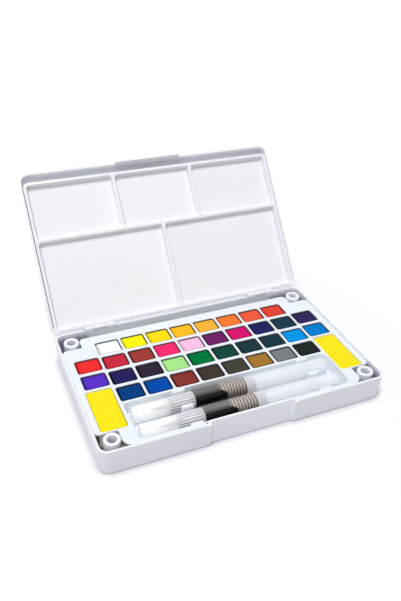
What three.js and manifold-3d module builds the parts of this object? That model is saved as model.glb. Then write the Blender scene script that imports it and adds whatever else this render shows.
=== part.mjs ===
import * as THREE from "three";
import { mergeVertices } from "three/addons/utils/BufferGeometryUtils.js";
import Module from "manifold-3d";

const wasm = await Module();
wasm.setup();

// Lengths are in millimetres. X is the width, Y runs towards the hinge, Z is up.
// The lower case of the box
const caseWidth = 212.6;
const caseDepth = 126;
const caseHeight = 20.5;
const caseWall = 1.8;
const caseFloor = 1.8;
const cornerRadius = 7;
const caseDraft = 0.5;
const caseEdge = 1.2;
const rimChamfer = 0.25;
const cutOver = 1;
const ledgeReach = 1.6;
const ledgeLength = 12;
const ledgeHeight = 3;
const ledgePlaceShare = 0.4;

// The recess in the front wall and the lip of the lid that closes over it
const recessWidth = 62;
const recessLean = 0.5;
const recessCorner = 0.6;
const lipThickness = 1.9;
const lipGap = 0.6;
const lipDrop = 5;
const lipLeftGap = 1;
const lipRightGap = 6;
const lipCorner = 2.5;
const scoopWidth = 26;
const scoopDepth = 0.5;
const rimNotchWidth = 2.4;
const rimNotchDepth = 1;
const rimNotchGap = 0.4;

// The lid
const lidGap = 0.05;
const lidHeight = 8.2;
const lidWall = 1.4;
const lidFrontWall = 2.2;
const lidPanel = 1.5;
const lidDraft = 0.3;
const lidEdge = 1.3;
const lidOpenAngle = 130;

// The two hinges and the stops behind the case
const knuckleRadius = 1.7;
const caseKnuckle = 7;
const lidKnuckle = 9.4;
const hingeInset = 36.3;
const hingeGap = 0.3;
const pinFit = 0.05;
const pinShare = 0.44;
const stopWidth = 8;
const stopInset = 16.3;
const stopReach = 6;
const stopGap = 0.3;
const stopDrop = 10;
const stopLand = 0.5;

// The mixing palette clipped in the lid
const paletteInset = 0.8;
const paletteSideGap = 0.4;
const paletteHingeGap = 0.4;
const paletteFrontGap = 5.3;
const paletteBackGap = 0.3;
const paletteFloor = 1.1;
const paletteWall = 2.2;
const paletteRib = 2.3;
const paletteCorner = 4;
const wellFloorCorner = 0.7;
const wellSlope = 0.7;
const wellFillet = 1.2;
const nearWellShare = 0.608;
const farRibShare = 0.317;

// The tray that holds the paints
const trayDrop = 2;
const trayPlate = 1.5;
const trayGap = 0.3;
const trayBackGap = 6.2;
const traySideMargin = 4.2;
const trayBackMargin = 6.95;
const trayFrontRim = 1.2;
const trayCorner = 3.5;
const trayNotchCorner = 1.2;
const trayEdge = 0.3;

// The paint pockets and the cakes in them
const panWebX = 1.8;
const panWebY = 2.7;
const panCorner = 1.8;
const pocketFloor = 1.4;
const cakeSink = 1.1;
const cakeHeight = 7.5;
const cakeGap = 0.2;
const cakeBevel = 0.5;
const endColumnShift = 1.1;

// The sponges and their wells
const spongeShift = 0.5;
const spongeSink = 0.2;
const spongeGap = 0.3;
const spongeWellWeb = 1.2;
const spongeWellCorner = 2;
const spongeBackWeb = 1.9;
const spongeFrontWeb = 1.1;
const spongeRound = 1.2;

// The round sockets in the corners of the case
const socketRadius = 5.8;
const socketBore = 3.15;
const socketSideGap = 3.4;
const socketBackGap = 4.5;
const socketFrontGap = 3.1;
const socketNotchGap = 0.6;
const socketNotchFrontGap = 2;
const socketRound = 0.5;

// The brush bay and its clips
const bayLeftWeb = 2.4;
const bayRightWeb = 1.2;
const bayBackWeb = 0.5;
const bayFloor = 1.5;
const bayWall = 1.2;
const bayLeftCorner = 3.5;
const bayRightCorner = 6;
const baySideGap = 2.4;
const bayMiddleGap = 4;
const clipWidth = 9;
const clipGap = 0.3;
const clipTop = 1;
const clipCornerShare = 0.45;
const clipEdgeShare = 0.35;
const leftClipShare = 0.252;
const rightClipShare = 0.872;

// The water brushes, lying along X with the cap on the left
const brushRadius = 6.5;
const brushHeadroom = 0.5;
const brushLeftGap = 3.2;
const brushRightGap = 4.9;
const capShare = 0.296;
const gripShare = 0.259;
const capTipRadius = 5.6;
const capRadius = 5.9;
const capWall = 0.9;
const capRound = 0.8;
const capRidge = 0.3;
const capRidgeShare = 0.56;
const bristleShare = 0.3;
const bristleLengthShare = 0.39;
const bristleRadius = 2;
const bristleTip = 0.3;
const bristleBellyShare = 0.66;
const ferruleShare = 0.2;
const ferruleTipRadius = 2.3;
const ferruleRadius = 3.8;
const ferruleStep = 0.3;
const neckFit = 0.1;
const gripRound = 0.5;
const ribsStartShare = 0.49;
const ribDepth = 0.55;
const ribGapShares = [0.4, 0.6];
const barrelWall = 0.9;
const barrelEndRadius = 6.2;
const barrelRound = 2.6;
const spigotLength = 7.5;

// Counts
const panColumns = 10;
const panRows = 4;
const gripRibs = 9;
const capRidges = 12;
const cornerSteps = 3;
const roundSteps = 24;

// Colours read from the photo
const caseColour = "#f1f4f7";
const trayColour = "#ecf2f6";
const paletteColour = "#f2f1f6";
const spongeColour = "#fdf129";
const steelColour = "#b9bcc0";
const capColour = "#e7ebef";
const bristleColour = "#6b4a2e";
const ferruleColour = "#eef0f2";
const gripColour = "#26242a";
const barrelColour = "#e4e7eb";
const paints = [
  [
    ["white", "#fafdf6"],
    ["lemon_yellow", "#f6f112"],
    ["yellow", "#fbdd11"],
    ["amber", "#fbbd23"],
    ["light_orange", "#f4b43b"],
    ["orange", "#fa7a32"],
    ["vermilion", "#ee5c3c"],
    ["scarlet", "#e14432"],
  ],
  [
    ["red", "#ef2f31"],
    ["crimson", "#c82c3f"],
    ["red_brown", "#9d3e36"],
    ["rose", "#fd2d72"],
    ["pink", "#fcbfe0"],
    ["purple", "#702364"],
    ["magenta", "#d7146e"],
    ["indigo", "#23235f"],
    ["dark_teal", "#1c3a4b"],
    ["dark_violet", "#32285a"],
  ],
  [
    ["violet", "#5833c2"],
    ["deep_indigo", "#262159"],
    ["deep_purple", "#322737"],
    ["light_green", "#a6e78a"],
    ["green", "#007639"],
    ["dark_green", "#13463a"],
    ["pine_green", "#20393e"],
    ["teal", "#173843"],
    ["sky_blue", "#0496e6"],
    ["blue", "#037ecf"],
  ],
  [
    ["navy", "#093e7e"],
    ["ultramarine", "#084ba7"],
    ["brick", "#863630"],
    ["dark_brown", "#413831"],
    ["olive_brown", "#464439"],
    ["ochre", "#a27731"],
    ["grey", "#7a7e80"],
    ["black", "#212926"],
  ],
];

// Places that follow from the lengths
const halfWidth = caseWidth / 2;
const halfDepth = caseDepth / 2;
const recessDepth = lipThickness + lipGap;
const lidTop = caseHeight + lidHeight;
const paletteRim = caseHeight + paletteInset;
const trayTop = caseHeight - trayDrop;
const trayHalfWidth = halfWidth - caseWall - trayGap;
const trayBack = halfDepth - caseWall - trayBackGap;
const trayFront = -halfDepth + recessDepth + caseWall + trayGap;
const panPitchX = (2 * (trayHalfWidth - traySideMargin)) / panColumns;
const bayFront = trayFront + trayFrontRim;
const bayBack = bayFront + 4 * brushRadius + bayMiddleGap + 2 * baySideGap;
const rowsBack = trayBack - trayBackMargin;
const rowsFront = bayBack + bayBackWeb;
const panPitchY = (rowsBack - rowsFront) / panRows;
const panWidth = panPitchX - panWebX;
const panDepth = panPitchY - panWebY;
const floorLevel = trayTop - cakeSink - cakeHeight;
const blockBottom = floorLevel - pocketFloor;
const socketX = halfWidth - caseWall - socketSideGap - socketRadius;
const socketBackY = halfDepth - caseWall - socketBackGap - socketRadius;
const socketFrontY = -halfDepth + caseWall + socketFrontGap + socketRadius;
const notchX = socketX - socketRadius - socketNotchGap;
const notchBackY = socketBackY - socketRadius - socketNotchGap;
const notchFrontY = socketFrontY + socketRadius + socketNotchFrontGap;
const endRowsFront = columnRowY(0, 2) - panDepth / 2;
const wellCentreX = columnX(panColumns - 1) + spongeShift;
const wellHalfWidth = (panPitchX - spongeWellWeb) / 2;
const wellFront = notchFrontY + spongeFrontWeb;
const wellBack = endRowsFront - spongeBackWeb;
const bayLeft = -(wellCentreX - wellHalfWidth - bayLeftWeb);
const bayRight = wellCentreX - wellHalfWidth - bayRightWeb;
const brushTop = paletteRim - brushHeadroom;
const brushZ = brushTop - brushRadius;
const bayLevel = brushZ - brushRadius;
const brushBackY = bayBack - baySideGap - brushRadius;
const brushFrontY = bayFront + baySideGap + brushRadius;
const brushLeft = bayLeft + brushLeftGap;
const brushLength = bayRight - brushRightGap - brushLeft;
const capLength = brushLength * capShare;
const gripLength = brushLength * gripShare;
const pinRadius = knuckleRadius * pinShare;
const hingeX = halfWidth - hingeInset;
const hingeLength = 2 * caseKnuckle + lidKnuckle + 2 * hingeGap;

function columnX(column) {
  return (column - (panColumns - 1) / 2) * panPitchX;
}

// The columns at the ends stand a little further back than the rest.
function columnRowY(column, row) {
  const atEnd = column === 0 || column === panColumns - 1;
  return rowsBack - (row + 1 / 2) * panPitchY + (atEnd ? endColumnShift : 0);
}

// The recess is deepest at the rim and leans out towards the floor.
function recessDepthAt(height) {
  return recessDepth - recessLean * (1 - height / caseHeight);
}

// Outlines are lists of points that run anticlockwise
function box(left, right, front, back) {
  return [
    new THREE.Vector2(left, front),
    new THREE.Vector2(right, front),
    new THREE.Vector2(right, back),
    new THREE.Vector2(left, back),
  ];
}

function centredBox(x, y, width, depth) {
  return box(x - width / 2, x + width / 2, y - depth / 2, y + depth / 2);
}

// Each square corner becomes an arc; one radius serves all corners, or there is one for each.
function rounded(corners, radii) {
  return corners.flatMap((corner, i) => {
    const radius = Array.isArray(radii) ? radii[i] : radii;
    const before = corners.at(i - 1).clone().sub(corner).setLength(radius);
    const after = corners[(i + 1) % corners.length].clone().sub(corner).setLength(radius);
    const centre = corner.clone().add(before).add(after);
    return Array.from({ length: cornerSteps + 1 }, (_, step) => {
      const angle = (step / cornerSteps) * (Math.PI / 2);
      return centre
        .clone()
        .addScaledVector(after, -Math.cos(angle))
        .addScaledVector(before, -Math.sin(angle));
    });
  });
}

function circle(radius, steps = roundSteps) {
  return Array.from({ length: steps }, (_, i) => {
    const angle = (i / steps) * 2 * Math.PI;
    return new THREE.Vector2(Math.cos(angle), Math.sin(angle)).multiplyScalar(radius);
  });
}

// A closed skin over outlines of equal length, each given with its height, from the lowest up.
function loft(levels) {
  const count = levels[0][0].length;
  const points = levels.flatMap(([outline, height]) =>
    outline.flatMap((p) => [p.x, p.y, height]),
  );
  const index = [];
  for (let level = 0; level + 1 < levels.length; level += 1) {
    for (let i = 0; i < count; i += 1) {
      const low = level * count;
      const next = (i + 1) % count;
      index.push(low + i, low + next, low + count + next);
      index.push(low + i, low + count + next, low + count + i);
    }
  }
  const top = (levels.length - 1) * count;
  for (const [a, b, c] of THREE.ShapeUtils.triangulateShape(levels[0][0], [])) {
    index.push(c, b, a);
  }
  for (const [a, b, c] of THREE.ShapeUtils.triangulateShape(levels.at(-1)[0], [])) {
    index.push(top + a, top + b, top + c);
  }
  const geometry = new THREE.BufferGeometry();
  geometry.setAttribute("position", new THREE.Float32BufferAttribute(points, 3));
  return geometry.setIndex(index);
}

function prism(outline, low, high) {
  return loft([
    [outline, low],
    [outline, high],
  ]);
}

// A block with rounded upright corners. Each level is a height and how far its outline is drawn in.
function block([left, right, front, back], radius, levels) {
  return loft(
    levels.map(([height, inset]) => [
      rounded(box(left + inset, right - inset, front + inset, back - inset), radius - inset),
      height,
    ]),
  );
}

// Two or three levels that take an edge round from one face to the next.
function lowerEdge(height, edge, inset = 0) {
  const cut = edge * (1 - Math.SQRT1_2);
  return [
    [height, inset + edge],
    [height + cut, inset + cut],
    [height + edge, inset],
  ];
}

function upperEdge(height, edge, inset = 0) {
  return lowerEdge(-height, edge, inset)
    .map(([level, drawn]) => [-level, drawn])
    .reverse();
}

// A solid turned about Z from pairs of height and radius.
function turned(profile, steps = roundSteps) {
  return loft(profile.map(([height, radius]) => [circle(radius, steps), height]));
}

const alongX = new THREE.Matrix4().makeBasis(
  new THREE.Vector3(0, 1, 0),
  new THREE.Vector3(0, 0, 1),
  new THREE.Vector3(1, 0, 0),
);
const facingFront = new THREE.Matrix4().makeBasis(
  new THREE.Vector3(1, 0, 0),
  new THREE.Vector3(0, 0, 1),
  new THREE.Vector3(0, -1, 0),
);

function rod(left, right, y, z, radius, steps = roundSteps) {
  return turned(
    [
      [left, radius],
      [right, radius],
    ],
    steps,
  )
    .applyMatrix4(alongX)
    .translate(0, y, z);
}

function solid(geometry) {
  const merged = mergeVertices(geometry);
  return new wasm.Manifold(
    new wasm.Mesh({
      numProp: 3,
      vertProperties: new Float32Array(merged.attributes.position.array),
      triVerts: new Uint32Array(merged.index.array),
    }),
  );
}

function join(first, ...others) {
  return others.reduce((sum, other) => sum.add(solid(other)), first);
}

function cut(first, ...others) {
  return others.reduce((rest, other) => rest.subtract(solid(other)), first);
}

function mesh(name, shape, colour, roughness, metalness = 0) {
  const { numProp, vertProperties, triVerts } = shape.getMesh();
  const points = new Float32Array(triVerts.length * 3);
  triVerts.forEach((vertex, i) => {
    points.set(vertProperties.subarray(vertex * numProp, vertex * numProp + 3), i * 3);
  });
  const geometry = new THREE.BufferGeometry();
  geometry.setAttribute("position", new THREE.BufferAttribute(points, 3));
  geometry.computeVertexNormals();
  const material = new THREE.MeshStandardMaterial({ color: colour, roughness, metalness });
  const made = new THREE.Mesh(geometry, material);
  made.name = name;
  return made;
}

// The lower case: an open box whose front wall steps in behind the lip of the lid. Four small
// ledges on its side walls carry the edge of the tray.
function makeCase() {
  const front = -halfDepth;
  const outer = solid(
    block([-halfWidth, halfWidth, front, halfDepth], cornerRadius, [
      ...lowerEdge(0, caseEdge, caseDraft),
      ...upperEdge(caseHeight, rimChamfer),
    ]),
  );
  const inside = [
    -halfWidth + caseWall,
    halfWidth - caseWall,
    front + caseWall,
    halfDepth - caseWall,
  ];
  const hollow = block(inside, cornerRadius - caseWall, [
    ...lowerEdge(caseFloor, caseEdge, caseDraft),
    [caseHeight, 0],
    [caseHeight + cutOver, 0],
  ]);
  const halfRecess = recessWidth / 2;
  const step = (grow, low, high) =>
    loft(
      [low, high].map((height) => [
        rounded(
          box(
            -halfRecess - grow,
            halfRecess + grow,
            front - cutOver,
            front + recessDepthAt(height) + grow,
          ),
          recessCorner,
        ),
        height,
      ]),
    );
  let shape = cut(outer, hollow);
  shape = shape.add(solid(step(caseWall, 0, caseHeight)).intersect(outer));
  shape = cut(shape, step(0, -cutOver, caseHeight + cutOver));
  for (const side of [-1, 1]) {
    const notchCentre = side * (halfRecess + rimNotchGap + rimNotchWidth / 2);
    const notch = centredBox(notchCentre, front, rimNotchWidth, 4 * (recessDepth + caseWall));
    shape = cut(shape, prism(notch, caseHeight - rimNotchDepth, caseHeight + cutOver));
    const hinge = side * hingeX;
    const start = hinge - hingeLength / 2;
    const finish = hinge + hingeLength / 2;
    const lidSpan = lidKnuckle / 2 + hingeGap;
    shape = join(
      shape,
      rod(start, start + caseKnuckle, halfDepth, caseHeight, knuckleRadius),
      rod(finish - caseKnuckle, finish, halfDepth, caseHeight, knuckleRadius),
    );
    shape = cut(
      shape,
      rod(hinge - lidSpan, hinge + lidSpan, halfDepth, caseHeight, knuckleRadius + hingeGap),
      rod(start - cutOver, finish + cutOver, halfDepth, caseHeight, pinRadius + pinFit),
    );
    shape = join(shape, makeStop(side * (halfWidth - stopInset)));
    for (const end of [-1, 1]) {
      const y = end * halfDepth * ledgePlaceShare;
      const x = side * (halfWidth - caseWall - (ledgeReach - caseWall / 2) / 2);
      const ledge = centredBox(x, y, ledgeReach + caseWall / 2, ledgeLength);
      shape = join(shape, prism(ledge, trayTop - trayPlate - ledgeHeight, trayTop - trayPlate));
    }
  }
  return mesh("base_case", shape, caseColour, 0.35);
}

// A wedge on the back wall; the back of the lid leans on its upper face when open.
function makeStop(x) {
  const angle = THREE.MathUtils.degToRad(lidOpenAngle);
  const along = new THREE.Vector2(Math.sin(angle), Math.cos(angle));
  const away = new THREE.Vector2(Math.cos(angle), -Math.sin(angle));
  const face = new THREE.Vector2(halfDepth, caseHeight).addScaledVector(away, stopGap);
  const land = caseHeight - stopLand;
  const startAt = (land - face.y) / along.y;
  const outline = [
    new THREE.Vector2(halfDepth - caseWall / 2, caseHeight - stopDrop),
    new THREE.Vector2(halfDepth, caseHeight - stopDrop),
    face.clone().addScaledVector(along, stopReach),
    face.clone().addScaledVector(along, startAt),
    new THREE.Vector2(halfDepth - caseWall / 2, land),
  ];
  return prism(outline, x - stopWidth / 2, x + stopWidth / 2).applyMatrix4(alongX);
}

function makePin(side) {
  const start = side * hingeX - hingeLength / 2;
  const pin = rod(start, start + hingeLength, halfDepth, caseHeight, pinRadius);
  return mesh(side < 0 ? "hinge_pin_left" : "hinge_pin_right", solid(pin), steelColour, 0.3, 0.9);
}

function makeSocket(name, x, y) {
  const outside = turned([
    [caseFloor, socketRadius],
    [caseHeight - socketRound, socketRadius],
    [caseHeight, socketRadius - socketRound],
  ]);
  const bore = turned([
    [caseFloor - cutOver, socketBore],
    [caseHeight - socketRound, socketBore],
    [caseHeight + socketRound, socketBore + 2 * socketRound],
  ]);
  return mesh(name, cut(solid(outside), bore).translate(x, y, 0), capColour, 0.3);
}

// The tray: a plate with round corners, cut away around the four sockets
function trayPlateShape() {
  const level = (inset, height) => {
    const right = trayHalfWidth - inset;
    const notch = notchX - inset;
    const front = trayFront + inset;
    const back = trayBack - inset;
    const frontNotch = notchFrontY + inset;
    const backNotch = notchBackY - inset;
    const corners = [
      [-notch, front],
      [notch, front],
      [notch, frontNotch],
      [right, frontNotch],
      [right, backNotch],
      [notch, backNotch],
      [notch, back],
      [-notch, back],
      [-notch, backNotch],
      [-right, backNotch],
      [-right, frontNotch],
      [-notch, frontNotch],
    ].map(([x, y]) => new THREE.Vector2(x, y));
    const inner = trayNotchCorner + inset;
    const outer = trayCorner - inset;
    const radii = [outer, outer, inner, outer, outer, inner, outer, outer, inner, outer, outer, inner];
    return [rounded(corners, radii), height];
  };
  return loft([
    level(0, trayTop - trayPlate),
    level(0, trayTop - trayEdge),
    level(trayEdge, trayTop),
  ]);
}

function makeTray() {
  const half = ((panColumns - 2) / 2) * panPitchX;
  const web = panWebX / 2;
  const plateBottom = trayTop - trayPlate / 2;
  const bayBox = [bayLeft, bayRight, bayFront, bayBack];
  const bayCorners = [bayLeftCorner, bayRightCorner, bayRightCorner, bayLeftCorner];
  let shape = join(
    solid(trayPlateShape()),
    prism(box(-half - web, half + web, rowsFront, rowsBack), blockBottom, plateBottom),
    prism(
      box(bayLeft - bayWall, bayRight + bayWall, bayFront - bayWall, bayBack + bayWall),
      bayLevel - bayFloor,
      plateBottom,
    ),
  );
  const endBack = columnRowY(0, 1) + panDepth / 2 + panWebY / 2;
  for (const side of [-1, 1]) {
    const edges = [side * half, side * (half + panPitchX + web)].sort((a, b) => a - b);
    shape = join(shape, prism(box(...edges, notchFrontY, endBack), blockBottom, plateBottom));
  }
  const through = trayTop + cutOver;
  const pockets = paintPlaces().map(({ x, y }) =>
    prism(rounded(centredBox(x, y, panWidth, panDepth), panCorner), floorLevel, through),
  );
  const wells = [-1, 1].map((side) =>
    prism(
      rounded(
        centredBox(
          side * wellCentreX,
          (wellFront + wellBack) / 2,
          2 * wellHalfWidth,
          wellBack - wellFront,
        ),
        spongeWellCorner,
      ),
      floorLevel,
      through,
    ),
  );
  const bay = prism(rounded(box(...bayBox), bayCorners), bayLevel, through);
  shape = cut(shape, ...pockets, ...wells, bay);
  return mesh("pan_tray", join(shape, ...makeClips()), trayColour, 0.4);
}

// Each brush lies between a tab on the wall and a finger in the middle, at two places.
function makeClips() {
  const tabDepth = baySideGap - clipGap;
  const fingerDepth = bayMiddleGap - 2 * clipGap;
  const middle = (bayFront + bayBack) / 2;
  const low = bayLevel - bayFloor / 2;
  return [leftClipShare, rightClipShare].flatMap((share) => {
    const x = bayLeft + (bayRight - bayLeft) * share;
    const span = [x - clipWidth / 2, x + clipWidth / 2];
    const tabTop = trayTop - trayEdge;
    const tab = (front, back) => prism(box(...span, front, back), low, tabTop);
    return [
      tab(bayBack - tabDepth, bayBack + bayWall / 2),
      tab(bayFront - bayWall / 2, bayFront + tabDepth),
      block(
        [...span, middle - fingerDepth / 2, middle + fingerDepth / 2],
        fingerDepth * clipCornerShare,
        [[low, 0], ...upperEdge(trayTop + clipTop, fingerDepth * clipEdgeShare)],
      ),
    ];
  });
}

function paintPlaces() {
  return paints.flatMap((row, rowNumber) => {
    const first = (panColumns - row.length) / 2;
    return row.map(([name, colour], i) => ({
      name,
      colour,
      x: columnX(first + i),
      y: columnRowY(first + i, rowNumber),
    }));
  });
}

function makeCake({ name, colour, x, y }) {
  const width = panWidth / 2 - cakeGap;
  const depth = panDepth / 2 - cakeGap;
  const top = floorLevel + cakeHeight;
  const shape = block([x - width, x + width, y - depth, y + depth], panCorner - cakeGap, [
    [floorLevel, 0],
    [top - cakeBevel, 0],
    [top, cakeBevel],
  ]);
  return mesh("paint_" + name, solid(shape), colour, 0.55);
}

function makeSponge(side) {
  const x = side * wellCentreX;
  const width = wellHalfWidth - spongeGap;
  const shape = block(
    [x - width, x + width, wellFront + spongeGap, wellBack - spongeGap],
    spongeWellCorner,
    [
      ...lowerEdge(floorLevel, spongeRound / 2),
      ...upperEdge(trayTop - spongeSink, spongeRound),
    ],
  );
  return mesh(side < 0 ? "sponge_left" : "sponge_right", solid(shape), spongeColour, 0.95);
}

// The five pieces of a water brush, made along Z and laid down along X
function makeBrush(name, y) {
  const lay = (geometry) => geometry.applyMatrix4(alongX).translate(brushLeft, y, brushZ);
  const gripStart = capLength;
  const barrelStart = capLength + gripLength;
  const ridgeStart = capLength * capRidgeShare;
  const capRing = (height, radius, ridge) => [
    circle(radius, 3 * capRidges).map((p, i) =>
      i % 3 === 0 ? p : p.setLength(radius + ridge),
    ),
    height,
  ];
  const capOuter = [
    ...lowerEdge(0, capRound).map(([height, inset]) => capRing(height, capTipRadius - inset, 0)),
    capRing(ridgeStart, capRadius - capRidge, 0),
    capRing(ridgeStart + capRidge, capRadius - capRidge, capRidge),
    capRing(capLength - capRidge, capRadius, capRidge),
    capRing(capLength, capRadius, 0),
  ];
  const capBore = turned([
    [capWall, capTipRadius - capWall],
    [capLength, capRadius - capWall],
    [capLength + cutOver, capRadius - capWall],
  ]);
  const bristleStart = capLength * bristleShare;
  const ferruleStart = bristleStart + capLength * bristleLengthShare;
  const ferruleEnd = ferruleStart + capLength * ferruleShare;
  const bristleBelly = bristleStart + (ferruleStart - bristleStart) * bristleBellyShare;
  const ferruleMiddle = (ferruleStart + ferruleEnd) / 2;
  const neckRadius = capRadius - capWall - neckFit - capRidge / 2;
  const ribsStart = gripStart + gripLength * ribsStartShare;
  const ribPitch = (barrelStart - ribsStart) / gripRibs;
  const ribs = Array.from({ length: gripRibs }, (_, i) => [
    [ribsStart + i * ribPitch, brushRadius],
    ...ribGapShares.map((share) => [
      ribsStart + (i + share) * ribPitch,
      brushRadius - ribDepth,
    ]),
  ]).flat();
  const boreRadius = barrelEndRadius - barrelWall;
  const grip = turned([
    [ferruleEnd, neckRadius],
    [gripStart, neckRadius],
    [gripStart, capRadius],
    [gripStart + gripRound, brushRadius],
    ...ribs,
    [barrelStart, brushRadius],
    [barrelStart, boreRadius - neckFit],
    [barrelStart + spigotLength, boreRadius - neckFit],
  ]);
  const barrelOuter = turned([
    [barrelStart, brushRadius],
    ...upperEdge(brushLength, barrelRound).map(([height, inset]) => [
      height,
      barrelEndRadius - inset,
    ]),
  ]);
  const barrelBore = turned([
    [barrelStart - cutOver, boreRadius],
    [brushLength - barrelRound, boreRadius],
    [brushLength - barrelWall, boreRadius - barrelRound + barrelWall],
  ]);
  const bristles = turned([
    [bristleStart, bristleTip],
    [(bristleStart + bristleBelly) / 2, (bristleTip + bristleRadius) / 2 + bristleTip],
    [bristleBelly, bristleRadius],
    [ferruleStart, bristleRadius - bristleTip],
  ]);
  const ferrule = turned([
    [ferruleStart, ferruleTipRadius],
    [ferruleMiddle, ferruleTipRadius + ferruleStep],
    [ferruleMiddle, ferruleRadius - ferruleStep],
    [ferruleEnd, ferruleRadius],
  ]);
  return [
    mesh(name + "_cap", cut(solid(lay(loft(capOuter))), lay(capBore)), capColour, 0.15),
    mesh(name + "_bristles", solid(lay(bristles)), bristleColour, 0.8),
    mesh(name + "_ferrule", solid(lay(ferrule)), ferruleColour, 0.4),
    mesh(name + "_grip", solid(lay(grip)), gripColour, 0.35),
    mesh(name + "_barrel", cut(solid(lay(barrelOuter)), lay(barrelBore)), barrelColour, 0.25),
  ];
}

// The lid is made closed on the case, and its group then turns it open about the hinge
function makeLid() {
  const front = -halfDepth;
  const outer = block([-halfWidth, halfWidth, front, halfDepth], cornerRadius, [
    [caseHeight + lidGap, rimChamfer],
    [caseHeight + lidGap + rimChamfer, 0],
    ...upperEdge(lidTop, lidEdge, lidDraft),
  ]);
  const hollow = block(
    [
      -halfWidth + lidWall,
      halfWidth - lidWall,
      front + lidFrontWall,
      halfDepth - lidWall,
    ],
    cornerRadius - lidWall,
    [
      [caseHeight - cutOver, 0],
      [caseHeight, 0],
      ...upperEdge(lidTop - lidPanel, lidEdge / 2, lidDraft),
    ],
  );
  let shape = cut(solid(outer), hollow);
  const lipLeft = -recessWidth / 2 + lipLeftGap;
  const lipRight = recessWidth / 2 - lipRightGap;
  const lipLow = caseHeight - lipDrop;
  const lipHigh = caseHeight + lidHeight / 2;
  const lip = prism(
    rounded(box(lipLeft, lipRight, lipLow, lipHigh), [lipCorner, lipCorner, lipGap, lipGap]),
    halfDepth - lipThickness,
    halfDepth,
  ).applyMatrix4(facingFront);
  const middle = (lipLeft + lipRight) / 2;
  const scoop = prism(
    rounded(
      box(middle - scoopWidth / 2, middle + scoopWidth / 2, lipLow - cutOver, caseHeight - lipGap),
      lipCorner,
    ),
    halfDepth - scoopDepth,
    halfDepth + cutOver,
  ).applyMatrix4(facingFront);
  shape = cut(join(shape, lip), scoop);
  for (const hinge of [-hingeX, hingeX]) {
    const knuckle = lidKnuckle / 2;
    const reach = hingeLength / 2 + hingeGap;
    const clear = knuckleRadius + hingeGap;
    shape = cut(
      shape,
      rod(hinge - reach, hinge - knuckle, halfDepth, caseHeight, clear),
      rod(hinge + knuckle, hinge + reach, halfDepth, caseHeight, clear),
    );
    shape = join(
      shape,
      rod(hinge - knuckle, hinge + knuckle, halfDepth, caseHeight, knuckleRadius),
    );
    shape = cut(
      shape,
      rod(hinge - reach, hinge + reach, halfDepth, caseHeight, pinRadius + pinFit),
    );
  }
  return mesh("lid_shell", shape, caseColour, 0.35);
}

function makePalette() {
  const left = -halfWidth + lidWall + paletteSideGap + lidDraft;
  const back = halfDepth - knuckleRadius - paletteHingeGap;
  const front = -halfDepth + lidFrontWall + paletteFrontGap;
  const top = lidTop - lidPanel - paletteBackGap;
  const floor = top - paletteFloor;
  const outer = block([left, -left, front, back], paletteCorner, [
    [paletteRim, rimChamfer],
    [paletteRim + rimChamfer, 0],
    ...upperEdge(top, lidEdge),
  ]);
  const well = (wellLeft, wellRight, wellFrontY, wellBackY) =>
    block(
      [wellLeft, wellRight, wellFrontY, wellBackY],
      wellSlope + wellFillet + wellFloorCorner,
      [
        [paletteRim - cutOver, 0],
        [paletteRim, 0],
        ...upperEdge(floor, wellFillet, wellSlope),
      ],
    );
  const ribY = back - (back - front) * nearWellShare;
  const rib = paletteRib / 2;
  const inner = -left - paletteWall;
  const far = [front + paletteWall, ribY - rib];
  const near = [ribY + rib, back - paletteWall];
  const ribX = -left * farRibShare;
  return mesh(
    "mixing_palette",
    cut(
      solid(outer),
      well(-inner, -rib, ...near),
      well(rib, inner, ...near),
      well(-inner, -ribX - rib, ...far),
      well(-ribX + rib, ribX - rib, ...far),
      well(ribX + rib, inner, ...far),
    ),
    paletteColour,
    0.3,
  );
}

const part = new THREE.Group();
part.name = "watercolour_paint_box";
part.add(makeCase(), makePin(-1), makePin(1), makeTray());
part.add(
  makeSocket("socket_back_left", -socketX, socketBackY),
  makeSocket("socket_back_right", socketX, socketBackY),
  makeSocket("socket_front_left", -socketX, socketFrontY),
  makeSocket("socket_front_right", socketX, socketFrontY),
);
part.add(...paintPlaces().map(makeCake));
part.add(makeSponge(-1), makeSponge(1));
part.add(...makeBrush("brush_back", brushBackY), ...makeBrush("brush_front", brushFrontY));

const openLid = new THREE.Group();
openLid.name = "open_lid";
openLid.position.set(0, halfDepth, caseHeight);
openLid.rotation.x = -THREE.MathUtils.degToRad(lidOpenAngle);
for (const piece of [makeLid(), makePalette()]) {
  piece.position.set(0, -halfDepth, -caseHeight);
  openLid.add(piece);
}
part.add(openLid);

export default part;
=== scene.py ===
"""A watercolour paint box, open on a white table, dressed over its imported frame."""

import math

import bmesh
import bpy
from mathutils import Matrix, Vector, noise
from mathutils.geometry import tessellate_polygon


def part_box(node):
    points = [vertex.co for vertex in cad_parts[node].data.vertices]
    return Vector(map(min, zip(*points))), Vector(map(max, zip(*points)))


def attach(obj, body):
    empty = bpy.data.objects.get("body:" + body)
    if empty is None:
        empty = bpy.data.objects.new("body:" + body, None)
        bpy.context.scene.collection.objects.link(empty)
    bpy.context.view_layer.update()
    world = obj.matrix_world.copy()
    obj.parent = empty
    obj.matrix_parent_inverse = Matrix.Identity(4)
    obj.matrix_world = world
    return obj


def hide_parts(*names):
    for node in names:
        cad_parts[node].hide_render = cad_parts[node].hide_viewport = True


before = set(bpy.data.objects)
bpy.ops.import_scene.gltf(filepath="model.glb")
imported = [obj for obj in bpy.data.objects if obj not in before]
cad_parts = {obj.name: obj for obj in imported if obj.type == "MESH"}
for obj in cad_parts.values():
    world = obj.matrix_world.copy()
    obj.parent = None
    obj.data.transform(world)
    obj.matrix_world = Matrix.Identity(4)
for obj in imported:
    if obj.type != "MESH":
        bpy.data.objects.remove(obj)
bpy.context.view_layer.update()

MM = 0.001
CORNER_STEPS = 8
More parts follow.
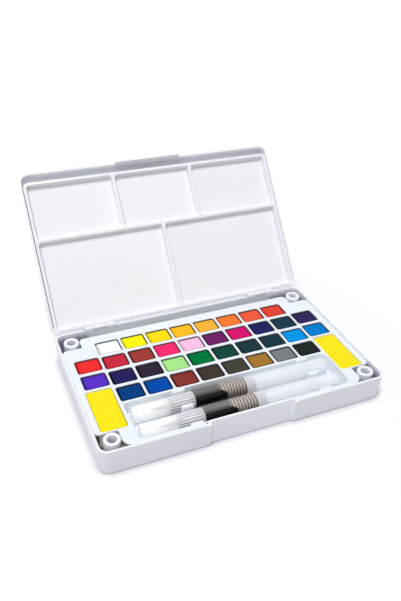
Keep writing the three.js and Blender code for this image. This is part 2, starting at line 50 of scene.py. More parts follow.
WHITE, BLACK = (1.0, 1.0, 1.0, 1.0), (0.0, 0.0, 0.0, 1.0)

# Where the finishes and the painted shade change, in metres
SOFT_STEP = 0.0002
# Painted shade in the case's inner corners: its heights, and where its brown part for the sponge's
# thrown-back light ends
CORNER_SHADE_LEVELS, CORNER_SHADE_FLOOR, BROWN_EDGE = (0.0188, 0.0145), (0.001, 0.0012), 0.01
CORNER_X, CORNER_Y, CORNER_ROUND, CORNER_SIDE = 0.0993, 0.056, 0.0053, (0.078, 0.082)
# Painted shade down the walls of the paint pockets
GAP_SHADE_LEVELS = (0.01815, 0.01775)
ROWS_FRONT, ROWS_BACK, ROWS_SIDE = -0.0205, (0.0475, 0.0474), (0.1003, 0.1002)
WELL_SIDE, WELL_BACK = 0.0808, -0.0037
# Painted shade down the corner sockets
SOCKET_SHADE_LEVELS = (0.0185, 0.0125)
# Painted shade along the cakes' edges
CAKE_RIM_SHADE, SHADED_LEFT, SHADED_FRONT = (0.0013, 0.0007), 0.0009, 0.00072

# Sizes in millimetres, as the solids have them
CASE_HALF_WIDTH, CASE_HALF_DEPTH, CASE_HEIGHT = 106.3, 63.0, 20.5
CASE_WALL, CASE_FLOOR, CASE_DRAFT, CASE_CORNER = 1.8, 1.8, 0.5, 7.0
RECESS_HALF, RECESS_DEPTH, RECESS_LEAN, RECESS_CORNER = 31.0, 2.5, 0.5, 0.6
LID_LOW, LID_TOP, LID_WALL, LID_FRONT_WALL, LID_PANEL = 20.55, 28.7, 1.4, 2.2, 1.5
LID_DRAFT = 0.3
OPEN_ANGLE = math.radians(130)
TRAY_TOP, TRAY_PLATE = 18.5, 1.5
HINGE_CENTRE = (CASE_HALF_DEPTH, CASE_HEIGHT)
HINGE_AXIS = Vector((0, *HINGE_CENTRE))

# The hinge along X: its middles, its knuckles and the room that each half leaves for the other
HINGE_X, HINGE_PLAY = 70.0, 0.3
KNUCKLE_RADIUS, BORE_RADIUS, BORE_HALF = 1.7, 0.8, 13.0
CASE_KNUCKLES, CASE_ROOM = ((-12.0, -5.0), (5.0, 12.0)), ((-5.0, 5.0),)
LID_KNUCKLES, LID_ROOM = ((-4.7, 4.7),), ((-12.3, -4.7), (4.7, 12.3))
PIN_HALF, PIN_RADIUS, PIN_EDGE = 12.0, 0.75, 0.15

# The two water brushes, lying along X with their caps to the left
BRUSH_LEFT, FERRULE_END, CAP_END, GRIP_END, BARREL_END = -75.5, -35.852, -30.952, 8.03, 75.0
BRUSH_RADIUS, BRUSH_Z, BRUSH_Y = 6.5, 14.3, {"back": -31.3, "front": -48.3}
CAP_RIDGES, RIDGES_SHARE = 18, 0.56
RIBS_FROM, RIB_COUNT, RIB_DEPTH, CREST_DROP = -11.85, 9, 0.55, 0.05
RIB_PITCH = (GRIP_END - RIBS_FROM) / RIB_COUNT
HAIR_COUNT, HAIR_SEED = 320, 11


def srgb(red, green, blue):
    """A colour as it looks on screen, 0 to 255, as the linear colour that a shader takes."""

    def linear(channel):
        share = channel / 255
        return share / 12.92 if share <= 0.04045 else ((share + 0.055) / 1.055) ** 2.4

    return (linear(red), linear(green), linear(blue), 1.0)


def shade(colour, factor):
    return tuple(min(1.0, c * factor) for c in colour[:3]) + (1.0,)


# Finishes


class Value:
    """A node's output that takes part in arithmetic: each operator adds a Math node."""

    def __init__(self, nodes, socket):
        self.nodes = nodes
        self.socket = socket

    def maths(self, operation, *others):
        return self.nodes.maths(operation, self, *others)

    def __add__(self, other):
        return self.maths("ADD", other)

    def __sub__(self, other):
        return self.maths("SUBTRACT", other)

    def __rsub__(self, other):
        return self.nodes.maths("SUBTRACT", other, self)

    def __mul__(self, other):
        return self.maths("MULTIPLY", other)

    __radd__ = __add__
    __rmul__ = __mul__


class Nodes:
    """A node tree, emptied and then filled node by node."""

    def __init__(self, tree):
        self.tree = tree
        tree.nodes.clear()

    def node(self, kind, settings=None, values=None, output=0):
        """Adds a node, fills its settings and its inputs, and gives back one output."""
        made = self.tree.nodes.new(kind)
        for name, setting in (settings or {}).items():
            setattr(made, name, setting)
        for name, value in (values or {}).items():
            if isinstance(value, Value):
                self.tree.links.new(value.socket, made.inputs[name])
            else:
                made.inputs[name].default_value = value
        return Value(self, made.outputs[output]) if made.outputs else None

    def maths(self, operation, *inputs):
        return self.node("ShaderNodeMath", {"operation": operation}, dict(enumerate(inputs)))

    def mix(self, share, first, second):
        return self.node(
            "ShaderNodeMix", {"data_type": "RGBA"}, {0: share, 6: first, 7: second}, output=2
        )

    def ramp(self, value, low, high):
        """0 at low, 1 at high, and a straight change between."""
        return self.node(
            "ShaderNodeMapRange", values={"Value": value, "From Min": low, "From Max": high}
        )

    def seen(self):
        """1 for what the camera sees, by itself, mirrored or through a clear piece."""
        direct, mirrored, through = (
            self.node("ShaderNodeLightPath", output=f"Is {ray} Ray")
            for ray in ("Camera", "Glossy", "Transmission")
        )
        return direct.maths("MAXIMUM", mirrored).maths("MAXIMUM", through)


class Finish(Nodes):
    """A procedural material, placed by the object's own coordinates in metres."""

    def __init__(self, name):
        self.material = bpy.data.materials.new(name)
        self.material.use_nodes = True
        super().__init__(self.material.node_tree)

    def place(self, scale=(1, 1, 1)):
        spot = self.node("ShaderNodeTexCoord", output="Object")
        return self.node("ShaderNodeMapping", values={"Vector": spot, "Scale": scale})

    def noise(self, scale, stretch=(1, 1, 1), detail=3.0):
        return self.node(
            "ShaderNodeTexNoise",
            values={"Vector": self.place(stretch), "Scale": scale, "Detail": detail},
        )

    def spot(self):
        """The object's X, Y and Z, each by itself."""
        place = self.place()
        return [self.node("ShaderNodeSeparateXYZ", values={0: place}, output=i) for i in range(3)]

    def round_axis(self, centre):
        """How far a point lies along X, and how far across and up from an axis at (y, z) mm."""
        along, y, z = self.spot()
        return along, y - centre[0] * MM, z - centre[1] * MM

    def facing(self, blend):
        return self.node("ShaderNodeLayerWeight", values={"Blend": blend}, output="Facing")

    def tones(self, share, colour, low=0.965, high=1.02):
        """The colour, from low to high times its strength."""
        return self.mix(share, shade(colour, low), shade(colour, high))

    def bump(self, height, depth):
        return self.node("ShaderNodeBump", values={"Height": height, "Distance": depth})

    def surface(self, **sockets):
        values = {name.replace("_", " "): value for name, value in sockets.items()}
        shader = self.node("ShaderNodeBsdfPrincipled", values=values)
        self.node("ShaderNodeOutputMaterial", values={"Surface": shader})
        return self.material


def corner_painted_shade(made, tone, smear, brown, violet):
    """Paints shade over the case's inner corners: violet-grey, and brown at the front left, where
    it stands for the sponge's yellow light thrown back.
    """
    x, y, z = made.spot()
    level = made.ramp(z, *CORNER_SHADE_LEVELS) * made.ramp(z, *CORNER_SHADE_FLOOR)
    side = x.maths("ABSOLUTE")
    over = (side - CORNER_X).maths("MAXIMUM", 0.0)
    past = (y.maths("ABSOLUTE") - CORNER_Y).maths("MAXIMUM", 0.0)
    reach = (over * over + past * past).maths("SQRT")
    inside = made.ramp(reach, CORNER_ROUND + SOFT_STEP, CORNER_ROUND)
    inside = inside * made.ramp(side, *CORNER_SIDE)
    at_left, at_front = (made.ramp(value, BROWN_EDGE, -BROWN_EDGE) for value in (x, y))
    painted_shade = made.mix(at_front * at_left, violet, brown)
    return made.mix(level * inside * (0.6 + smear * 0.4), tone, painted_shade)


def moulded_plastic(name, colour, roughness=0.34, coat=0.15, painted_shade=None):
    """Smooth injection-moulded plastic: a faint drift in tone, a very fine grain and, where colours
    for it are given, painted shade in the inner corners.
    """
    made = Finish(name)
    drift = made.noise(14, detail=1)
    grain = made.noise(2600, detail=2)
    smear = made.noise(90, stretch=(1, 0.35, 1), detail=1)
    tone = made.tones(drift, colour)
    # Painted shade over the inner corners, when its pair of colours is given
    if painted_shade:
        tone = corner_painted_shade(made, tone, smear, *painted_shade)
    return made.surface(
        Base_Color=tone,
        Roughness=roughness - 0.03 + smear * 0.05,
        Normal=made.bump(grain, 0.0000015),
        Coat_Weight=coat,
        Coat_Roughness=0.2,
    )


def socket_plastic(name, colour, socket_shade):
    """White plastic with painted shade that turns it violet-grey below, down the bore and down the
    outside.
    """
    made = Finish(name)
    drift = made.noise(60, detail=1)
    # Painted shade, growing downwards from below the socket's top
    low = made.ramp(made.spot()[2], *SOCKET_SHADE_LEVELS)
    return made.surface(
        Base_Color=made.mix(low * (0.75 + drift * 0.2), made.tones(drift, colour, 0.97), socket_shade),
        Roughness=0.27 + drift * 0.05,
        Coat_Weight=0.15,
        Coat_Roughness=0.2,
    )


def tray_plastic(name, colour, gap_shade):
    """White plastic, with shade painted dark down the walls of the paint pockets, in the gaps round
    the cakes.
    """
    made = Finish(name)
    drift = made.noise(30, detail=2)
    smear = made.noise(260, stretch=(1, 0.35, 1))
    x, y, z = made.spot()
    x = x.maths("ABSOLUTE")
    # Painted shade down the paint pockets' walls, round the cakes but not the sponges or the bay
    below = made.ramp(z, *GAP_SHADE_LEVELS)
    behind = made.ramp(y, ROWS_FRONT - SOFT_STEP, ROWS_FRONT)
    beside_wells = made.ramp(x, WELL_SIDE, WELL_SIDE - SOFT_STEP)
    behind_wells = made.ramp(y, WELL_BACK, WELL_BACK + SOFT_STEP)
    inside = made.ramp(x, *ROWS_SIDE) * made.ramp(y, *ROWS_BACK)
    gap_shaded = below * behind * beside_wells.maths("MAXIMUM", behind_wells) * inside
    return made.surface(
        Base_Color=made.mix(gap_shaded * (0.8 + smear * 0.25), made.tones(drift, colour), gap_shade),
        Roughness=0.33 + smear * 0.1,
        Coat_Weight=0.15,
        Coat_Roughness=0.2,
    )


def pressed_paint(name, colour, low, high):
    """A pressed cake: dense fine-grained pigment, with shade painted along its edges where the
    pocket's walls fall, widest at the left and front.

    low and high are the cake's lower and upper corners in metres.
    """
    made = Finish(name)
    grain = made.noise(1500, detail=5)
    press = made.noise(160, stretch=(1, 0.4, 1))
    bloom = made.ramp(made.noise(75, detail=4), 0.5, 0.8)
    body = made.mix(bloom * 0.004, made.tones(grain, colour, 0.9, 1.06), shade(WHITE, 0.9))
    # Painted shade along the cake's edges, widest at the left and front, and lighter on pale cakes
    x, y, _ = made.spot()
    margin = (x - low.x - SHADED_LEFT).maths("MINIMUM", high.x - x)
    margin = margin.maths("MINIMUM", y - low.y - SHADED_FRONT)
    margin = margin.maths("MINIMUM", high.y - y)
    rim = made.ramp(margin + press * 0.0004, *CAKE_RIM_SHADE)
    pale = min(1.0, sum(colour[:3]) / 1.5)
    return made.surface(
        Base_Color=made.mix(rim * (0.95 - 0.5 * pale), body, shade(colour, 0.12)),
        Roughness=0.58 + grain * 0.18,
        Normal=made.bump(grain * 0.6 + press, 0.00006),
        Specular_IOR_Level=0.02,
    )


def sponge_foam(name, colour):
    """Fine open foam: pores of two sizes, sunk by a bump and darkened by painted shade."""
    made = Finish(name)
    cells = made.node("ShaderNodeTexVoronoi", values={"Vector": made.place(), "Scale": 1300.0})
    pores = made.ramp(cells, 0.12, 0.5)
    skin = pores * 0.7 + made.noise(3200, detail=4) * 0.3
    return made.surface(
        Base_Color=made.tones(skin, colour, 0.86, 1.06),
        Roughness=0.95 - pores * 0.1,
        Normal=made.bump(skin, 0.00022),
        Specular_IOR_Level=0.1,
        Sheen_Weight=0.06,
    )


def cap_plastic(name, colour, shadow, centre, stripes_from):
    """Cloudy clear plastic whose ridges begin at the X given in metres, with painted shade between
    the ridges, darker on the lower side, and a faint painted glow in its own tone.
    """
    made = Finish(name)
    flow = made.noise(500, stretch=(0.08, 1, 1))
    along, across, up = made.round_axis(centre)
    turns = up.maths("ARCTAN2", across) * CAP_RIDGES
    valley = made.ramp(turns.maths("COSINE"), 0.1, -0.6)
    # Painted shade: the stripes between the ridges grow darker towards the cap's lower side
    low = made.ramp(up + across * 0.4, 0.005, -0.001)
    ridged = made.ramp(along, stripes_from, stripes_from + 0.0008)
    ridge_shade = valley * ridged * (0.35 + low * 0.35 + flow * 0.3)
    frost = made.ramp(made.noise(500, stretch=(0.5, 1, 1), detail=4), 0.3, 0.7)
    tone = made.mix(ridge_shade, made.tones(frost, colour, 0.95, 1.0), shadow)
    return made.surface(
        Base_Color=tone,
        Roughness=0.12 + flow * 0.1,
        Alpha=0.36 + made.facing(0.35) * 0.32 + ridge_shade * 0.3 + frost * 0.05,
        # Painted glow: the cap gives off its own tone as light, though it is no lamp
        Emission_Color=tone,
        Emission_Strength=0.18,
        Coat_Weight=0.3,
        Coat_Roughness=0.05,
    )


def frosted_plastic(name, colour):
    """Soft milky plastic that lets a little light through, with a faint painted glow in its own
    colour.
    """
    made = Finish(name)
    cloud = made.noise(90, stretch=(0.3, 1, 1))
    return made.surface(
        Base_Color=made.tones(cloud, colour, 0.97),
        Roughness=0.34 + cloud * 0.12,
        Normal=made.bump(made.noise(2200), 0.000008),
        Alpha=0.36 + made.facing(0.3) * 0.45,
        # Painted glow: the barrel gives off its own colour as light, though it is no lamp
        Emission_Color=colour,
        Emission_Strength=0.1,
        Coat_Weight=0.15,
    )


def grip_plastic(name, front, highlight_grey, groove, crest, centre):
    """Black plastic that turns smoky where the ribs begin, later on its lower side, with painted
    light on it: a grey highlight along the top of the black, lighter crests, darker grooves and a
    lower side drawn towards black.
    """
    made = Finish(name)
    along, across, up = made.round_axis(centre)
    radius = (across * across + up * up).maths("SQRT")
    streak = made.noise(420, stretch=(0.05, 1, 1))
    # Painted light and shade on the ribs: crests lighter, grooves darker
    raised = made.ramp(radius, (BRUSH_RADIUS - RIB_DEPTH) * MM, (BRUSH_RADIUS - CREST_DROP) * MM)
    rise = up * 0.8 + across * 0.6
    # Painted shade: the ribs' lower side is drawn towards black
    lit = made.ramp(rise, -0.003, 0.003)
    dark_until = RIBS_FROM * MM + 0.0045 - made.ramp(rise, 0.0, 0.003) * 0.0045
    smoky = made.ramp(along - dark_until, -0.0004, 0.0004)
    ribbed = made.mix(raised, groove, made.tones(streak, crest, 0.85, 1.15))
    ribbed = made.mix(lit, made.mix(0.58, ribbed, front), ribbed)
    # Painted highlight: grey streaks along the top of the black front
    top_highlight = made.ramp(rise, 0.0016, 0.0046) * (0.15 + streak * 0.55)
    return made.surface(
        Base_Color=made.mix(smoky, made.mix(top_highlight, front, highlight_grey), ribbed),
        Roughness=0.28 + streak * 0.12,
        Specular_IOR_Level=0.16,
        Coat_Weight=0.05,
        Coat_Roughness=0.15,
    )


def nylon_hair(name, root, tip):
    made = Finish(name)
    strand = made.noise(3500, stretch=(0.05, 1, 1))
    return made.surface(Base_Color=made.mix(strand, root, tip), Roughness=0.45 + strand * 0.2)


def drawn_steel(name, colour):
    made = Finish(name)
    lines = made.noise(4000, stretch=(0.05, 1, 1))
    return made.surface(
        Base_Color=made.tones(lines, colour, 0.8, 1.0),
        Metallic=1.0,
        Roughness=0.25 + lines * 0.15,
    )


# Shapes, all in millimetres until they become objects


def box_corners(box, grow=0.0):
    """The corners of (left, right, front, back), anticlockwise and pushed out by grow."""
    left, front = box[0] - grow, box[2] - grow
    right, back = box[1] + grow, box[3] + grow
    return [(left, front), (right, front), (right, back), (left, back)]


def rounded(corners, radii, steps=CORNER_STEPS):
    """Turns each square corner of an anticlockwise outline into an arc."""
    points = []
    for i, corner in enumerate(corners):
        radius = radii[i] if isinstance(radii, list) else radii
        here = Vector(corner)
        before = (Vector(corners[i - 1]) - here).normalized() * radius
        after = (Vector(corners[(i + 1) % len(corners)]) - here).normalized() * radius
        centre = here + before + after
        for step in range(steps + 1):
            angle = step / steps * math.pi / 2
            points.append(centre - after * math.cos(angle) - before * math.sin(angle))
    return points


def at_height(outline, height):
    return [Vector((p[0], p[1], height)) for p in outline]


def box_ring(box, grow, height, radii, steps=CORNER_STEPS):
    """A box with round corners at a height; grow pushes it out and widens its corners."""
    sizes = [r + grow for r in radii] if isinstance(radii, list) else radii + grow
    return at_height(rounded(box_corners(box, grow), sizes, steps), height)


def circle(count):
    """Points round a circle of radius 1."""
    return [(math.cos(a), math.sin(a)) for a in (i / count * math.tau for i in range(count))]


def arc(start, end, steps=4, hollow=False):
    """Pairs on a quarter circle from start to end.

    It leaves start along the second value, or along the first where it is hollow.
    """
    pairs = []
    for step in range(steps + 1):
        angle = step / steps * math.pi / 2
        first, second = 1 - math.cos(angle), math.sin(angle)
        if hollow:
            first, second = second, first
        pairs.append(
            (start[0] + (end[0] - start[0]) * first, start[1] + (end[1] - start[1]) * second)
        )
    return pairs


def node_box(name):
    """The lower and upper corners of a solid, in millimetres."""
    low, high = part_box(name)
    return low / MM, high / MM


def footprint(low, high, gap=0.0):
    """Left, right, front and back of a box, pushed out by gap."""
    return low.x - gap, high.x + gap, low.y - gap, high.y + gap


def placed(name, data):
    made = bpy.data.objects.new(name, data)
    bpy.context.scene.collection.objects.link(made)
    return made


def smooth(made, sharp=38):
    """Smooth shading, but for edges sharper than the angle in degrees."""
    mesh = made.data
    mesh.polygons.foreach_set("use_smooth", [True] * len(mesh.polygons))
    mesh.set_sharp_from_angle(angle=math.radians(sharp))


def work_in(made):
    """Works the piece's modifiers in and leaves a plain mesh."""
    bpy.context.view_layer.update()
    shaped = bpy.data.meshes.new_from_object(
        made.evaluated_get(bpy.context.evaluated_depsgraph_get())
    )
    made.modifiers.clear()
    made.data = shaped


class Mould:
    """Collects closed skins in millimetres and turns them into one object in metres."""

    def __init__(self):
        self.points = []
        self.faces = []

    def add(self, ring):
        start = len(self.points)
        self.points.extend(ring)
        return list(range(start, start + len(ring)))

    def band(self, low, high):
        """Joins two rings, or a ring and the single point that it closes in."""
        count = max(len(low), len(high))
        for i in range(count):
            j = (i + 1) % count
            face = (low[i % len(low)], low[j % len(low)], high[j % len(high)], high[i % len(high)])
            self.faces.append(tuple(dict.fromkeys(face)))

    def walls(self, rings):
        """Joins each ring to the next and gives back the rows of points."""
        rows = [self.add(ring) for ring in rings]
        for low, high in zip(rows, rows[1:]):
            self.band(low, high)
        return rows

    def cap(self, rings, up=True):
        """Fills the first ring, less the rings inside it, with triangles."""
        flat = [[Vector((self.points[i].x, self.points[i].y, 0)) for i in ring] for ring in rings]
        order = [i for ring in rings for i in ring]
        for triangle in tessellate_polygon(flat):
            a, b, c = (order[i] for i in triangle)
            pa, pb, pc = (self.points[i] for i in (a, b, c))
            turn = (pb.x - pa.x) * (pc.y - pa.y) - (pb.y - pa.y) * (pc.x - pa.x)
            self.faces.append((a, b, c) if (turn > 0) == up else (c, b, a))

    def stack(self, rings):
        """A skin over level rings from the lowest up, or out over a rim and down inside."""
        rows = self.walls(rings)
        self.cap([rows[0]], up=False)
        self.cap([rows[-1]], up=True)
        return self

    def bar(self, rings):
        """A skin over rings that ends in two plain faces."""
        rows = self.walls(rings)
        self.faces += [tuple(rows[0]), tuple(reversed(rows[-1]))]
        return self

    def turned(self, profile, centre, steps=48):
        """A skin turned about X at (y, z) from pairs of x and radius."""
        y, z = centre
        unit = circle(steps)
        self.walls(
            [Vector((x, y + radius * c, z + radius * s)) for c, s in (unit if radius else unit[:1])]
            for x, radius in profile
        )
        return self

    def build(self, name, finish, turn=None):
        mesh = bpy.data.meshes.new(name)
        points = [turn(p) if turn else p for p in self.points]
        mesh.from_pydata([tuple(p * MM) for p in points], [], self.faces)
        mesh.materials.append(finish)
        tidy = bmesh.new()
        tidy.from_mesh(mesh)
        bmesh.ops.remove_doubles(tidy, verts=tidy.verts, dist=1e-7)
        bmesh.ops.recalc_face_normals(tidy, faces=tidy.faces)
        tidy.to_mesh(mesh)
        tidy.free()
        made = placed(name, mesh)
        smooth(made)
        return made


def carve(made, operation, mould, turn=None):
    """Cuts the mould's shape from the piece, or joins it on."""
    tool = mould.build("tool", made.data.materials[0], turn)
    change = made.modifiers.new(operation, "BOOLEAN")
    change.operation = operation
    change.solver = "MANIFOLD"
    change.object = tool
    work_in(made)
    bpy.data.objects.remove(tool)


def stand_for(made, body, node):
    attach(made, body)
    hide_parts(node)


def opened(point):
    """A point of the closed lid, turned open about the hinge."""
    return HINGE_AXIS + Matrix.Rotation(-OPEN_ANGLE, 3, "X") @ (point - HINGE_AXIS)


def rod(left, right, radius):
    """A rod along the hinge."""
    profile = [(left, 0), (left, radius), (right, radius), (right, 0)]
    return Mould().turned(profile, HINGE_CENTRE)


def hinge_half(made, side, knuckles, room):
    """Clears room for the other half's knuckles, joins this half's own on and bores them."""
    middle = side * HINGE_X
    for left, right in room:
        clear = rod(middle + left, middle + right, KNUCKLE_RADIUS + HINGE_PLAY)
        carve(made, "DIFFERENCE", clear)
    for left, right in knuckles:
        carve(made, "UNION", rod(middle + left, middle + right, KNUCKLE_RADIUS))
    carve(made, "DIFFERENCE", rod(middle - BORE_HALF, middle + BORE_HALF, BORE_RADIUS))


# The case's pair of extra colours is painted shade for its inner corners: brown for the sponge's
# thrown-back light, and violet-grey
case_white = moulded_plastic(
    "case_white", srgb(239, 241, 245), painted_shade=(srgb(250, 226, 186), srgb(126, 122, 156))
)
# The tray's dark second colour is painted shade in the gaps round the cakes
tray_white = tray_plastic("tray_white", srgb(234, 239, 244), srgb(44, 40, 46))
palette_white = moulded_plastic("palette_white", srgb(240, 240, 243), roughness=0.28, coat=0.3)
socket_white = socket_plastic("socket_white", srgb(240, 241, 246), srgb(160, 160, 192))
pin_steel = drawn_steel("pin_steel", srgb(190, 192, 196))
yellow_foam = sponge_foam("yellow_foam", srgb(255, 231, 20))
tuft_hair = nylon_hair("tuft_hair", srgb(70, 46, 30), srgb(150, 110, 74))
ferrule_white = moulded_plastic("ferrule_white", srgb(238, 240, 242), roughness=0.4)
frosted_barrel = frosted_plastic("frosted_barrel", srgb(241, 243, 248))


# The lower case

LEDGE_X, LEDGE_Y, STOP_X = 104.15, 25.2, 90.0


def case_ring(inset, height):
    """The case's outline, drawn in by inset, with the step in its front wall."""
    fallen = 1 - height / CASE_HEIGHT
    x = CASE_HALF_WIDTH - CASE_DRAFT * fallen - inset
    y = CASE_HALF_DEPTH - CASE_DRAFT * fallen - inset
    step_x = RECESS_HALF + inset
    step_y = -CASE_HALF_DEPTH + RECESS_DEPTH - RECESS_LEAN * fallen + inset
    corners = [
        (-x, -y),
        (-step_x, -y),
        (-step_x, step_y),
        (step_x, step_y),
        (step_x, -y),
        (x, -y),
        (x, y),
        (-x, y),
    ]
    outer = CASE_CORNER - inset
    radii = [outer] + [RECESS_CORNER] * 4 + [outer] * 3
    return at_height(rounded(corners, radii), height)


def lip_notch(side):
    """The cut in the rim beside the recess, which lets the end of the lip in."""
    middle, half = side * (RECESS_HALF + 1.6), 1.2
    box = (middle - half, middle + half, -CASE_HALF_DEPTH - 3, -CASE_HALF_DEPTH + 7)
    heights = (CASE_HEIGHT - 1, CASE_HEIGHT + 1)
    return Mould().stack([box_ring(box, 0, height, 0.3) for height in heights])


def ledge(x, y):
    """A small ledge on a side wall, which carries the edge of the tray."""
    shelf = TRAY_TOP - TRAY_PLATE
    half_x, half_y = 1.25, 6
    box = (x - half_x, x + half_x, y - half_y, y + half_y)
    levels = ((0.5, shelf - 3), (0, shelf - 2.5), (0, shelf - 0.2), (0.2, shelf))
    return Mould().stack([at_height(box_corners(box, -inset), z) for inset, z in levels])


def stop_wedge(x):
    """The wedge behind the case that the open lid leans on."""
    along = Vector((math.sin(OPEN_ANGLE), math.cos(OPEN_ANGLE)))
    away = Vector((math.cos(OPEN_ANGLE), -math.sin(OPEN_ANGLE)))
    face = Vector(HINGE_CENTRE) + away * 0.3
    land, foot, rooted, half = CASE_HEIGHT - 0.5, CASE_HEIGHT - 10, CASE_HALF_DEPTH - 0.9, 4
    outline = [
        (rooted, foot),
        (CASE_HALF_DEPTH, foot),
        face + along * 6,
        face + along * ((land - face.y) / along.y),
        (rooted, land),
    ]
    return Mould().bar([[Vector((at, y, z)) for y, z in outline] for at in (x - half, x + half)])


def make_case():
    top, edge, rim = CASE_HEIGHT, 1.2, 0.4
    levels = arc((edge, 0), (0, edge), 5, hollow=True)
    levels += arc((0, top - rim), (rim, top))
    levels += arc((CASE_WALL - rim, top), (CASE_WALL, top - rim), hollow=True)
    levels += arc((CASE_WALL, CASE_FLOOR + edge), (CASE_WALL + edge, CASE_FLOOR), 5)
    mould = Mould().stack([case_ring(inset, height) for inset, height in levels])
    case = mould.build("lower_case", case_white)
    for side in (-1, 1):
        carve(case, "DIFFERENCE", lip_notch(side))
        hinge_half(case, side, CASE_KNUCKLES, CASE_ROOM)
        carve(case, "UNION", stop_wedge(side * STOP_X))
        for y in (-LEDGE_Y, LEDGE_Y):
            carve(case, "UNION", ledge(side * LEDGE_X, y))
    smooth(case)
    stand_for(case, "case", "base_case")


def make_pins():
    for side, name in ((-1, "left"), (1, "right")):
        middle = side * HINGE_X
        end = middle - PIN_HALF
        profile = [(end, 0), (end, PIN_RADIUS - PIN_EDGE), (end + PIN_EDGE, PIN_RADIUS)]
        profile += [(2 * middle - x, radius) for x, radius in reversed(profile)]
        mould = Mould().turned(profile, HINGE_CENTRE, 24)
        pin = mould.build("steel_pin_" + name, pin_steel)
        stand_for(pin, "case", "hinge_pin_" + name)


def make_sockets():
    bore, floor, edge = 3.15, 0.4, 0.9
    for name in ("back_left", "back_right", "front_left", "front_right"):
        low, high = node_box("socket_" + name)
        centre = (low + high) / 2
        radius, top = (high.x - low.x) / 2, high.z
        levels = [(radius, low.z)]
        levels += arc((radius, top - edge), (radius - edge, top))
        levels += arc((bore + edge, top), (bore, top - edge), hollow=True)
        levels += [(bore, low.z + floor), (0.01, low.z + floor)]
        mould = Mould().stack(
            [Vector((centre.x + r * c, centre.y + r * s, z)) for c, s in circle(48)]
            for r, z in levels
        )
        socket = mould.build("corner_socket_" + name, socket_white)
        stand_for(socket, "case", "socket_" + name)


# The pan tray

PAINTS = {
    "white": (250, 253, 246),
    "lemon_yellow": (246, 241, 18),
    "yellow": (251, 221, 17),
    "amber": (251, 189, 35),
    "light_orange": (244, 180, 59),
    "orange": (250, 122, 50),
    "vermilion": (238, 92, 60),
    "scarlet": (225, 68, 50),
    "red": (239, 47, 49),
    "crimson": (200, 44, 63),
    "red_brown": (157, 62, 54),
    "rose": (253, 45, 114),
    "pink": (252, 191, 224),
    "purple": (112, 35, 100),
    "magenta": (215, 20, 110),
    "indigo": (35, 35, 95),
    "dark_teal": (28, 58, 75),
    "dark_violet": (50, 40, 90),
    "violet": (88, 51, 194),
    "deep_indigo": (38, 33, 89),
    "deep_purple": (50, 39, 55),
    "light_green": (166, 231, 138),
    "green": (0, 118, 57),
    "dark_green": (19, 70, 58),
    "pine_green": (32, 57, 62),
    "teal": (23, 56, 67),
    "sky_blue": (4, 150, 230),
    "blue": (3, 126, 207),
    "navy": (9, 62, 126),
    "ultramarine": (8, 75, 167),
    "brick": (134, 54, 48),
    "dark_brown": (65, 56, 49),
    "olive_brown": (70, 68, 57),
    "ochre": (162, 119, 48),
    "grey": (122, 126, 128),
    "black": (33, 41, 38),
}

# The brush bay as left, right, front and back, and the block of the tray below its plate
BAY, BAY_CORNERS, BAY_FLOOR = (-78.7, 79.9, -57.2, -22.4), [3.5, 6.0, 6.0, 3.5], 7.8
BLOCK_LOW = 6.3
BLOCK = [
    (-79.9, -58.0),
    (81.1, -58.0),
    (81.1, -44.2),
    (100.9, -44.2),
    (100.9, 31.7),
    (80.9, 31.7),
    (80.9, 48),
    (-80.9, 48),
    (-80.9, 31.7),
    (-100.9, 31.7),
    (-100.9, -44.2),
    (-79.9, -44.2),
]

# The clips of the bay, each as its front, back, top and the radius of its top edge
CLIPS_X, CLIP_HALF, CLIP_LOW = (-38.7, 59.6), 4.5, 7.2
CLIPS = (
    (-24.5, -21.9, 18.3, 0.5),
    (-57.6, -55.1, 18.3, 0.5),
    (-41.5, -38.1, 19.5, 1.4),
)


def tray_outline(inset):
    """The plate's outline, notched round the sockets and stepped back behind the recess."""
    x, notch_x, step_x = 104.2 - inset, 88.9 - inset, 33.6 + inset
    middle, front, back = -58.4 + inset, -59.7 + inset, 55 - inset
    notch_front, notch_back = -44.5 + inset, 44.5 - inset
    corners = [
        (-notch_x, front),
        (-step_x, front),
        (-step_x, middle),
        (step_x, middle),
        (step_x, front),
        (notch_x, front),
        (notch_x, notch_front),
        (x, notch_front),
        (x, notch_back),
        (notch_x, notch_back),
        (notch_x, back),
        (-notch_x, back),
        (-notch_x, notch_back),
        (-x, notch_back),
        (-x, notch_front),
        (-notch_x, notch_front),
    ]
    outer, inner, large, small = 3.5 - inset, 1.2 + inset, 7.0 - inset, 0.12
    radii = [large] + [small] * 4 + [large, inner] + [outer, outer, inner] * 3
    return rounded(corners, radii, 5)


def pocket(mould, box, radii, floor, steps=4, fillet=0.4):
    """A hollow down from the tray's top; gives back its mouth, which the top leaves out."""
    edge = 0.4
    levels = arc((edge, TRAY_TOP), (0, TRAY_TOP - edge), 3, hollow=True)
    levels += arc((0, floor + fillet), (-fillet, floor), 3)
    rows = mould.walls([box_ring(box, grow, z, radii, steps) for grow, z in levels])
    mould.cap([rows[-1]], up=True)
    return rows[0]


def clips(mould, x):
    """Two tabs on the bay's walls and a rounded finger between the brushes."""
    for front, back, top, soft in CLIPS:
        box = (x - CLIP_HALF, x + CLIP_HALF, front, back)
        levels = [(0, CLIP_LOW)] + arc((0, top - soft), (soft, top), 5)
        mould.stack([box_ring(box, -inset, z, soft + 0.15, 5) for inset, z in levels])


